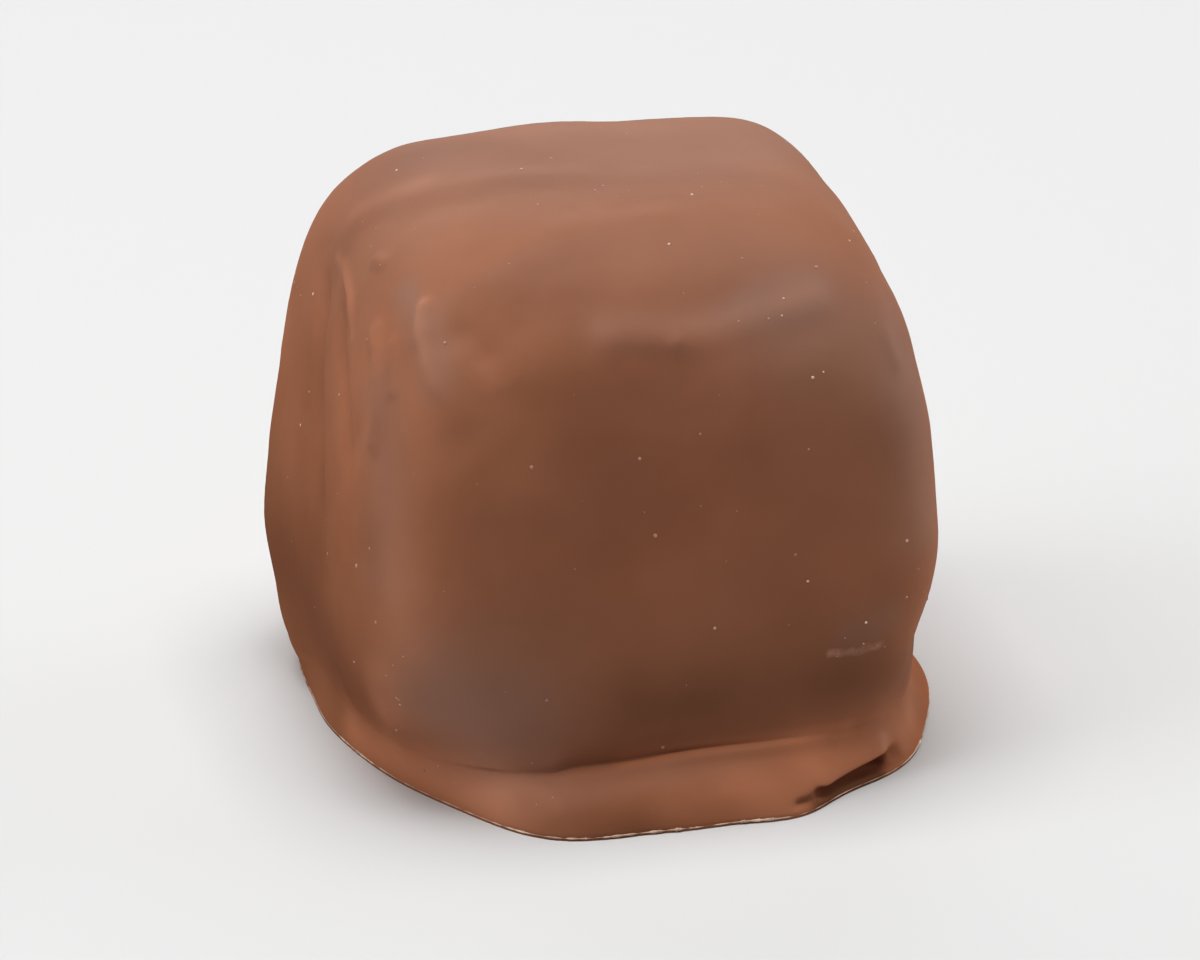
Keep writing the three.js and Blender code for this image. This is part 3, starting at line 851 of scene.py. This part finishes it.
@dataclass(frozen=True)
class Chocolate:
    """What every chocolate finish has: two tones in soft patches, and a fine grain."""

    mottle: bpy.types.NodeTree
    satin: bpy.types.NodeTree
    name: str
    deep: Colour
    pale: Colour
    patches_per_metre: float
    smoothest: float
    roughest: float
    grains_per_metre: float


class FinishSheet(NodeSheet):
    """The nodes of a chocolate finish, with its patches and its grain there from the start."""

    def __init__(self, finish: Chocolate) -> None:
        """Starts the material.

        Args:
            finish: The finish that it shows.
        """
        self.made = bpy.data.materials.new(finish.name)
        self.made.use_nodes = True
        super().__init__(self.made.node_tree)
        self.shader = self.tree.nodes["Principled BSDF"]
        self.point = self.add("ShaderNodeTexCoord").outputs["Object"]
        self.tone = self.add("ShaderNodeGroup", {
            "Point": self.point, "Deep": (*finish.deep, 1.0), "Pale": (*finish.pale, 1.0),
            "Patches per metre": finish.patches_per_metre,
        }, node_tree=finish.mottle).outputs["Colour"]
        self.grain = self.add("ShaderNodeGroup", {
            "Point": self.point, "Smoothest": finish.smoothest, "Roughest": finish.roughest,
            "Grains per metre": finish.grains_per_metre,
        }, node_tree=finish.satin).outputs

    def carried(self, skin_map: SkinMap) -> bpy.types.NodeSocket:
        """The value that the skin's points carry under that name."""
        return self.add("ShaderNodeAttribute", attribute_name=skin_map.value).outputs["Fac"]

    def finished(self, feeds: dict[str | int, Any], shown: Colour) -> bpy.types.Material:
        """Feeds the shader, sets the plain colour shown for the material, and returns the material."""
        self.feed(self.shader, feeds)
        self.made.diffuse_color = (*shown, 1.0)
        return self.made


@dataclass(frozen=True)
class MilkChocolate(Chocolate):
    """Satin milk chocolate: patches of tone under a thin polish, with painted sheen, painted light and
    shade, and scuffs.
    """

    name: str = "satin_milk_chocolate"
    deep: Colour = (0.275, 0.100, 0.049)
    pale: Colour = (0.325, 0.124, 0.063)
    patches_per_metre: float = 130.0
    smoothest: float = 0.33
    roughest: float = 0.47
    grains_per_metre: float = 2600.0
    painted_sheen_tint: Colour = (0.255, 0.160, 0.128)
    painted_sheen_share: float = 0.55
    painted_sheen_dullness: float = 0.5
    painted_sheen_wear: float = 0.6
    rubbed: Colour = (0.470, 0.240, 0.165)
    rub_colour: float = 0.7
    rub_relief: float = 6.0
    flecks_per_metre: float = 1500.0
    ragged_from: float = 0.26
    ragged_to: float = 0.62
    dullness: float = 0.22
    polish: float = 0.13
    polish_roughness: float = 0.38
    refraction: float = 1.46
    bump: float = 0.12
    bump_height: float = 0.00006
    subsurface: float = 0.10
    subsurface_scale: float = 0.0006
    subsurface_reach: Colour = (1.0, 0.38, 0.18)

    def material(self) -> bpy.types.Material:
        """Builds the material, which reads what the skin's points carry.

        Returns:
            The material.
        """
        sheet = FinishSheet(self)
        painted_sheen, scuff = sheet.carried(SkinMap.BLOOM), sheet.carried(SkinMap.SCUFFED)
        # Painted sheen: the colour is mixed towards a greyish reflection tint where the skin carries
        # it.
        sheen_painted_colour = sheet.blend(
            sheet.math("MULTIPLY", painted_sheen, self.painted_sheen_share), sheet.tone, (*self.painted_sheen_tint, 1.0))
        # Painted light and shade: the colour's value is raised or lowered by what the skin carries.
        light_and_shade_painted = sheet.add("ShaderNodeHueSaturation", {
            "Color": sheen_painted_colour, "Value": sheet.math("ADD", sheet.carried(SkinMap.PAINTED_LIGHT_AND_SHADE), 1.0),
        }).outputs[0]
        fleck = sheet.noise(sheet.point, self.flecks_per_metre, detail=3.0)
        ragged = sheet.spread(sheet.math("MULTIPLY", scuff, fleck), self.ragged_from, self.ragged_to)
        colour = sheet.blend(
            sheet.math("MULTIPLY", ragged, self.rub_colour), light_and_shade_painted, (*self.rubbed, 1.0))
        # Roughness and polish follow both the scuffs and the painted sheen.
        dulled = sheet.math("MAXIMUM", ragged, sheet.math("MULTIPLY", painted_sheen, self.painted_sheen_dullness))
        wear_and_sheen = sheet.math("MAXIMUM", ragged, sheet.math("MULTIPLY", painted_sheen, self.painted_sheen_wear))
        whole = sheet.math("SUBTRACT", self.polish, sheet.math("MULTIPLY", wear_and_sheen, self.polish))
        torn = sheet.math("MULTIPLY", ragged, fleck)
        height = sheet.math("MULTIPLY_ADD", torn, self.rub_relief, sheet.grain["Height"])
        bump = sheet.add("ShaderNodeBump", {
            "Height": height, "Strength": self.bump, "Distance": self.bump_height,
        })
        return sheet.finished({
            "Base Color": colour,
            "Roughness": sheet.math("MULTIPLY_ADD", dulled, self.dullness, sheet.grain["Roughness"]),
            "Coat Weight": sheet.math("MULTIPLY", whole, sheet.carried(SkinMap.POLISHED)),
            "Normal": bump.outputs[0],
            "Subsurface Weight": self.subsurface,
            "Subsurface Radius": self.subsurface_reach,
            "Subsurface Scale": self.subsurface_scale,
            "IOR": self.refraction,
            "Specular IOR Level": 0.0,
            "Coat Roughness": self.polish_roughness,
            "Coat IOR": self.refraction,
        }, self.deep)


@dataclass(frozen=True)
class PaleCrumbAndGlint(Chocolate):
    """Broken edge of chocolate, pale, dry and rough; on the pimples, specks and rim also a painted
    glint.
    """

    name: str = "pale_crumb_and_glint"
    deep: Colour = (0.42, 0.23, 0.15)
    pale: Colour = (0.80, 0.62, 0.48)
    patches_per_metre: float = 900.0
    smoothest: float = 0.4
    roughest: float = 0.65
    grains_per_metre: float = 6000.0

    def material(self) -> bpy.types.Material:
        """Builds the material."""
        sheet = FinishSheet(self)
        feeds = {"Base Color": sheet.tone, "Roughness": sheet.grain["Roughness"]}
        return sheet.finished(feeds, self.pale)


# Pieces -------------------------------------------------------------------------------------------


@dataclass
class Skin:
    """The chocolate skin: one closed mesh from the formulas, with ripples grown on it."""

    form: CandyForm
    columns: int = 384
    body_rows: int = 212
    foot_rows: int = 30
    ripple_height: float = 0.00010
    ripples_per_metre: float = 210.0
    grain_height: float = 0.000020
    grains_per_metre: float = 900.0
    still_below: float = 0.25
    loose_above: float = 1.4
    left_polish: float = 0.1
    left_of: float = -16.2
    right_of: float = -13.2
    shift: np.ndarray = field(default_factory=lambda: np.zeros(3), repr=False)

    def rings(self) -> np.ndarray:
        """The form's rings at the skin's own fineness."""
        return self.form.rings(self.columns, self.body_rows, self.foot_rows)

    def mesh(self) -> bpy.types.Mesh:
        """Builds the smooth skin, its box centred over the origin.

        Returns:
            The mesh, with the values that its points carry.
        """
        rings = self.rings()
        points = np.concatenate([rings.reshape(-1, 3), [self.form.apex()], [(0.0, 0.0, 0.0)]])
        self.shift = -(points.min(axis=0) + points.max(axis=0)) / 2.0 * (1.0, 1.0, 0.0)
        apex, under = len(points) - 2, len(points) - 1
        around = np.arange(self.columns)
        after = (around + 1) % self.columns
        below = self.columns * np.arange(len(rings) - 1)[:, None]
        above = below + self.columns
        quads = np.stack([below + around, below + after, above + after, above + around], axis=-1)
        pairs = list(zip(around.tolist(), after.tolist()))
        last = (len(rings) - 1) * self.columns
        polygons = quads.reshape(-1, 4).tolist() + [(last + a, last + b, apex) for a, b in pairs]
        smooth = len(polygons)
        polygons += [(b, a, under) for a, b in pairs]
        mesh = bpy.data.meshes.new("skin_form")
        mesh.from_pydata(((points + self.shift) * MM).tolist(), [], polygons)
        mesh.polygons.foreach_set("use_smooth", [i < smooth for i in range(len(polygons))])
        for skin_map, values in self.values(points).items():
            carry(mesh, skin_map.value, values)
        mesh.update()
        return mesh

    def values(self, points: np.ndarray) -> dict[SkinMap, np.ndarray]:
        """What the skin carries.

        Args:
            points: Its points, in the form's own frame.

        Returns:
            How free each is to ripple, how polished and scuffed it is, its painted sheen, and its
            painted light and shade.
        """
        standing = ease(points[:, 2], self.still_below, self.loose_above)
        off_left = ease(points[:, 0], self.left_of, self.right_of)
        return {
            SkinMap.LOOSE: standing,
            SkinMap.POLISHED: standing * mix(self.left_polish, 1.0, off_left),
            SkinMap.SCUFFED: np.clip(laid(SCUFFS, points), 0.0, 1.0),
            SkinMap.BLOOM: np.clip(laid(PAINTED_SHEEN_MARKS, points), 0.0, 1.0),
            SkinMap.PAINTED_LIGHT_AND_SHADE: laid(PAINTED_LIGHT_AND_SHADE_MARKS, points),
        }

    @staticmethod
    def ripple_tree() -> bpy.types.NodeTree:
        """Geometry Nodes: pushes the skin in and out by a slow and a fine noise.

        Returns:
            The tree.
        """
        sheet = GeometrySheet("coating_ripples")
        slow, slow_scale, fine, fine_scale = sheet.inputs(
            "Float", "Ripple height", "Ripples per metre", "Grain height", "Grains per metre")
        position = sheet.add("GeometryNodeInputPosition").outputs[0]
        normal = sheet.add("GeometryNodeInputNormal").outputs[0]
        pushes = []
        for height, scale in ((slow, slow_scale), (fine, fine_scale)):
            about_zero = sheet.math("SUBTRACT", sheet.noise(position, scale, detail=1.0), 0.5)
            pushes.append(sheet.math("MULTIPLY", about_zero, sheet.math("MULTIPLY", height, 2.0)))
        loose = sheet.math("MULTIPLY", sheet.math("ADD", *pushes), sheet.attribute(SkinMap.LOOSE.value))
        push = sheet.add("ShaderNodeVectorMath", {0: normal, "Scale": loose}, operation="SCALE")
        offset = push.outputs[0]
        moved = sheet.add("GeometryNodeSetPosition", {"Geometry": sheet.geometry, "Offset": offset})
        return sheet.finish(moved.outputs[0])

    def build(self, material: bpy.types.Material) -> bpy.types.Object:
        """Makes the piece."""
        return grown("coating", self.mesh(), self.ripple_tree(), {
            "Material": material,
            "Ripple height": self.ripple_height,
            "Ripples per metre": self.ripples_per_metre,
            "Grain height": self.grain_height,
            "Grains per metre": self.grains_per_metre,
        })


@dataclass(frozen=True)
class Scatter:
    """Domes strewn over the skin where it carries a value, few of them large."""

    name: str
    carried: SkinMap
    per_square_metre: float
    smallest: float
    largest: float
    flatness: float
    seed: int
    rarity: float = 2.5

    def tree(self) -> bpy.types.NodeTree:
        """Geometry Nodes: points strewn by the value that the skin carries, each with a low dome.

        Returns:
            The tree.
        """
        sheet = GeometrySheet(f"strewn_by_{self.carried.value}")
        density, smallest, largest, flatness, rarity = sheet.inputs(
            "Float", "Per square metre", "Smallest", "Largest", "Flatness", "Rarity")
        seed, = sheet.inputs("Int", "Seed")
        amount = sheet.math("MULTIPLY", density, sheet.attribute(self.carried.value))
        strewn = sheet.add("GeometryNodeDistributePointsOnFaces", {
            "Mesh": sheet.geometry, "Density": amount, "Seed": seed,
        }).outputs
        few_large = sheet.math("POWER", sheet.chance(0.0, 1.0, seed), rarity)
        span = sheet.math("SUBTRACT", largest, smallest)
        size = sheet.math("MULTIPLY_ADD", few_large, span, smallest)
        return sheet.finish(sheet.domes(strewn["Points"], strewn["Rotation"], size, flatness))

    def build(self, skin: bpy.types.Object, material: bpy.types.Material) -> bpy.types.Object:
        """Makes the piece on that skin."""
        return grown(self.name, skin.data, self.tree(), {
            "Material": material,
            "Per square metre": self.per_square_metre,
            "Smallest": self.smallest,
            "Largest": self.largest,
            "Flatness": self.flatness,
            "Rarity": self.rarity,
            "Seed": self.seed,
        })


# Bright specks: small pale domes, partly crumbs and partly painted glints.
BRIGHT_SPECKS: tuple[tuple[Place, float], ...] = (
    ((-10.5, 5.7, 31.4), 0.08), ((-4.6, 0.0, 33.0), 0.09), ((-15.6, 5.9, 24.2), 0.09),
    ((-17.0, 3.2, 17.4), 0.08), ((3.9, -5.5, 32.8), 0.09), ((1.4, -9.6, 31.6), 0.09),
    ((12.5, -8.5, 30.3), 0.07), ((7.3, -12.7, 28.9), 0.08), ((7.0, -13.3, 28.1), 0.07),
    ((8.1, -14.9, 24.9), 0.1), ((8.7, -14.8, 25.1), 0.06), ((2.3, -16.6, 10.9), 0.09),
    ((7.6, -16.5, 13.1), 0.08), ((13.7, -15.7, 14.7), 0.1), ((13.6, -15.9, 11.2), 0.07),
    ((-17.2, -9.6, 7.8), 0.07), ((11.2, -16.4, 10.1), 0.08),
)


@dataclass(frozen=True)
class Placed:
    """Domes set at chosen places, each let down onto the skin."""

    name: str
    places: tuple[tuple[Place, float], ...]
    flatness: float

    @staticmethod
    def tree() -> bpy.types.NodeTree:
        """Geometry Nodes: a low dome on each vertex, turned by the direction that it carries.

        Returns:
            The tree.
        """
        sheet = GeometrySheet("placed_domes")
        flatness, = sheet.inputs("Float", "Flatness")
        facing = sheet.attribute("facing", "FLOAT_VECTOR")
        turned = sheet.add("FunctionNodeAlignRotationToVector", {"Vector": facing}, axis="Z").outputs[0]
        points = sheet.add("GeometryNodeMeshToPoints", {"Mesh": sheet.geometry}).outputs[0]
        return sheet.finish(sheet.domes(points, turned, sheet.attribute("size"), flatness))

    def seeds(self, skin: bpy.types.Object, shift: np.ndarray) -> bpy.types.Mesh:
        """Finds the places on the skin.

        Args:
            skin: The skin.
            shift: How far it stands from the form's own frame, in millimetres.

        Returns:
            A mesh of loose vertices, with the direction and size that each dome takes.
        """
        vertices = skin.data.vertices
        points, normals = np.empty(len(vertices) * 3), np.empty(len(vertices) * 3)
        vertices.foreach_get("co", points)
        vertices.foreach_get("normal", normals)
        points = points.reshape(-1, 3)
        chosen = [
            int(np.argmin(np.linalg.norm(points - (np.array(place) + shift) * MM, axis=1)))
            for place, _ in self.places
        ]
        mesh = bpy.data.meshes.new(f"{self.name}_seeds")
        mesh.from_pydata(points[chosen].tolist(), [], [])
        carry(mesh, "facing", normals.reshape(-1, 3)[chosen])
        carry(mesh, "size", np.array([radius * MM for _, radius in self.places]))
        return mesh

    def build(
        self, skin: bpy.types.Object, shift: np.ndarray, material: bpy.types.Material,
    ) -> bpy.types.Object:
        """Makes the piece on that skin."""
        values = {"Material": material, "Flatness": self.flatness}
        return grown(self.name, self.seeds(skin, shift), self.tree(), values)


@dataclass(frozen=True)
class RimFlash:
    """The pale thread of broken chocolate along the foot's lower edge, with crumbs on it; its paleness
    is partly a painted highlight.
    """

    skin: Skin
    thread: float = 0.085
    thinnest: float = 0.05
    crumb_and_glint: float = 0.15
    crumb_flatness: float = 0.7
    crumbs_above: float = 0.3
    lift: float = 0.17
    step: float = 0.16
    seed: int = 11
    faint: float = 0.3
    bright: tuple[Lobe, ...] = (
        Lobe(198, 9, 0.7), Lobe(246, 10, 0.4), Lobe(259, 7, 0.7), Lobe(267, 4, 0.7), Lobe(283, 5, 0.9),
        Lobe(322, 6, 0.5), Lobe(340, 14, 0.6), Lobe(30, 20, 0.5), Lobe(95, 25, 0.5), Lobe(150, 14, 0.5),
    )
    breaks_per_metre: float = 1300.0
    broken_below: float = 0.36
    whole_above: float = 0.6

    def loop(self) -> bpy.types.Mesh:
        """The rim's line.

        Returns:
            A closed line of edges, each point carrying how bright the flash is there.
        """
        ring = self.skin.rings()[1]
        points = ring * (1.0, 1.0, 0.0) + (0.0, 0.0, self.lift) + self.skin.shift
        count = len(points)
        mesh = bpy.data.meshes.new("rim_line")
        mesh.from_pydata((points * MM).tolist(), [(i, (i + 1) % count) for i in range(count)], [])
        bright = lobed(self.faint, self.bright, np.arctan2(ring[:, 1], ring[:, 0]))
        carry(mesh, "bright", np.clip(bright, 0.0, 1.0))
        return mesh

    def tree(self) -> bpy.types.NodeTree:
        """Geometry Nodes: a thread along the line and crumbs on it, both by how bright it is.

        Returns:
            The tree.
        """
        sheet = GeometrySheet("rim_flash")
        thread, crumb_and_glint, step = sheet.inputs("Float", "Thread radius", "Crumb radius", "Step")
        seed, = sheet.inputs("Int", "Seed")
        line = sheet.add("GeometryNodeMeshToCurve", {"Mesh": sheet.geometry}).outputs[0]
        even = sheet.add(
            "GeometryNodeResampleCurve", {"Curve": line, "Length": step}, mode="LENGTH").outputs[0]
        position = sheet.add("GeometryNodeInputPosition").outputs[0]
        noise = sheet.noise(position, self.breaks_per_metre, detail=2.0)
        broken = sheet.spread(noise, self.broken_below, self.whole_above)
        amount = sheet.math("MULTIPLY", sheet.attribute("bright"), broken)
        radius = sheet.math("MULTIPLY", thread, sheet.math("ADD", amount, self.thinnest))
        section = sheet.add("GeometryNodeCurvePrimitiveCircle", {"Resolution": 6, "Radius": 1.0})
        tube = sheet.add("GeometryNodeCurveToMesh", {
            "Curve": even, "Profile Curve": section.outputs[0], "Scale": radius,
        }).outputs[0]
        chance = sheet.chance(0.3, 1.0, seed)
        size = sheet.math("MULTIPLY", sheet.math("MULTIPLY", crumb_and_glint, amount), chance)
        spin = sheet.chance((0.0, 0.0, 0.0), FULL_SPIN, seed, "FLOAT_VECTOR")
        turned = sheet.add("FunctionNodeEulerToRotation", {"Euler": spin}).outputs[0]
        points = sheet.add("GeometryNodeCurveToPoints", {"Curve": even}, mode="EVALUATED").outputs[0]
        some = sheet.add("GeometryNodeDeleteGeometry", {
            "Geometry": points, "Selection": sheet.math("LESS_THAN", amount, self.crumbs_above),
        }, domain="POINT").outputs[0]
        joined = sheet.add("GeometryNodeJoinGeometry")
        sheet.feed(joined, {0: tube})
        sheet.feed(joined, {0: sheet.domes(some, turned, size, self.crumb_flatness)})
        return sheet.finish(joined.outputs[0])

    def build(self, material: bpy.types.Material) -> bpy.types.Object:
        """Makes the piece."""
        return grown("rim_flash", self.loop(), self.tree(), {
            "Material": material,
            "Thread radius": self.thread * MM,
            "Crumb radius": self.crumb_and_glint * MM,
            "Step": self.step * MM,
            "Seed": self.seed,
        })


# Studio -------------------------------------------------------------------------------------------


@dataclass(frozen=True)
class Softbox:
    """A soft studio lamp: where it hangs, its width and height, and its power."""

    name: str
    place: Place
    size: tuple[float, float]
    watts: float

    def hang(self, target: Vector) -> None:
        """Hangs the lamp.

        Args:
            target: The point that it is aimed at.
        """
        lamp = bpy.data.lights.new(self.name, "AREA")
        lamp.shape = "RECTANGLE"
        lamp.size, lamp.size_y = self.size
        lamp.energy = self.watts
        holder = linked(self.name, lamp)
        holder.location = self.place
        holder.rotation_euler = (target - Vector(self.place)).to_track_quat("-Z", "Y").to_euler()
        holder.visible_camera = False


@dataclass(frozen=True)
class Studio:
    """Pale floor, soft light and the camera."""

    floor_size: float = 3.0
    floor_colour: Colour = (0.62, 0.62, 0.62)
    floor_roughness: float = 0.75
    world_colour: Colour = (0.95, 0.97, 1.0)
    world_strength: float = 0.02
    azimuth: float = math.radians(-15.0)
    elevation: float = math.radians(23.5)
    distance: float = 0.48
    nearest: float = 0.01
    field_width: float = 0.0693
    sensor: float = 36.0
    aim_height: float = 0.0166
    aim_below: float = 0.0030
    lamps: tuple[Softbox, ...] = (
        Softbox("overhead", (0.0, 0.0, 0.70), (0.50, 0.50), 4.95),
        Softbox("rear", (0.0, 0.75, 0.32), (0.90, 0.35), 1.95),
        Softbox("overhead_left", (-0.45, 0.0, 0.55), (0.40, 0.60), 2.05),
        Softbox("left", (-0.65, 0.0, 0.22), (0.60, 0.30), 0.55),
        Softbox("right", (0.60, 0.0, 0.35), (0.50, 0.40), 0.22),
        Softbox("low_right", (0.60, 0.10, 0.12), (0.40, 0.20), 1.6),
    )

    def lay_floor(self) -> bpy.types.Object:
        """Lays the floor under the candy.

        Returns:
            The floor.
        """
        half = self.floor_size / 2.0
        mesh = bpy.data.meshes.new("floor")
        corners = [(-half, -half, 0), (half, -half, 0), (half, half, 0), (-half, half, 0)]
        mesh.from_pydata(corners, [], [(0, 1, 2, 3)])
        paper = bpy.data.materials.new("floor_paper")
        paper.use_nodes = True
        NodeSheet(paper.node_tree).feed(paper.node_tree.nodes["Principled BSDF"], {
            "Base Color": (*self.floor_colour, 1.0), "Roughness": self.floor_roughness,
        })
        mesh.materials.append(paper)
        return linked("floor", mesh)

    def light(self) -> None:
        """Hangs the lamps and sets the pale surroundings."""
        world = bpy.data.worlds.new("studio")
        world.use_nodes = True
        NodeSheet(world.node_tree).feed(world.node_tree.nodes["Background"], {
            "Color": (*self.world_colour, 1.0), "Strength": self.world_strength,
        })
        bpy.context.scene.world = world
        for lamp in self.lamps:
            lamp.hang(Vector((0.0, 0.0, self.aim_height)))

    def place_camera(self, shift: np.ndarray) -> None:
        """Places the camera at the photograph's viewing angle.

        Args:
            shift: How far the candy stands from its form's own frame, in millimetres.
        """
        flat = math.cos(self.elevation)
        back = Vector((
            math.sin(self.azimuth) * flat, -math.cos(self.azimuth) * flat, math.sin(self.elevation)))
        right = Vector((math.cos(self.azimuth), math.sin(self.azimuth), 0.0))
        middle = Vector((shift[0] * MM, shift[1] * MM, self.aim_height))
        middle -= back.cross(right) * self.aim_below
        lens = bpy.data.cameras.new("camera")
        lens.sensor_width = self.sensor
        lens.lens = self.sensor * self.distance / self.field_width
        lens.clip_start = self.nearest
        camera = linked("camera", lens)
        camera.location = middle + back * self.distance
        camera.rotation_euler = (-back).to_track_quat("-Z", "Y").to_euler()
        bpy.context.scene.camera = camera


def hand_over(piece: bpy.types.Object) -> None:
    """Lets a piece ride on the body, and reports it."""
    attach(piece, BODY)
    log.info("%s: %d faces", piece.name, len(piece.data.polygons))


def main() -> None:
    """Builds the candy and its studio."""
    logging.basicConfig(level=logging.INFO, format="%(name)s: %(message)s")
    groups = (mottle_group(), satin_group())
    chocolate = MilkChocolate(*groups).material()
    crumb_and_glint = PaleCrumbAndGlint(*groups).material()
    # The pimples' pale fleck is partly a painted glint on each bump.
    fleck = PaleCrumbAndGlint(
        *groups, name="pale_fleck_and_glint", deep=(0.32, 0.13, 0.075), pale=(0.52, 0.29, 0.20)).material()
    pimples = Scatter("pimples", SkinMap.LOOSE, per_square_metre=40000.0, smallest=0.00004,
                      largest=0.00012, flatness=0.4, seed=7)
    scuff_crumbs = Scatter("scuff_crumbs", SkinMap.SCUFFED, per_square_metre=2500000.0,
                           smallest=0.00002, largest=0.00008, flatness=0.5, seed=3)

    skin = Skin(CandyForm())
    coating = skin.build(chocolate)
    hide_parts(NODE)
    for piece in (
        coating,
        pimples.build(coating, fleck),
        scuff_crumbs.build(coating, crumb_and_glint),
        Placed("specks", BRIGHT_SPECKS, flatness=0.6).build(coating, skin.shift, crumb_and_glint),
        RimFlash(skin).build(crumb_and_glint),
    ):
        hand_over(piece)

    studio = Studio()
    studio.lay_floor()
    studio.light()
    studio.place_camera(skin.shift)
    bpy.context.scene.view_settings.view_transform = "Standard"


if __name__ == "__main__":
    main()
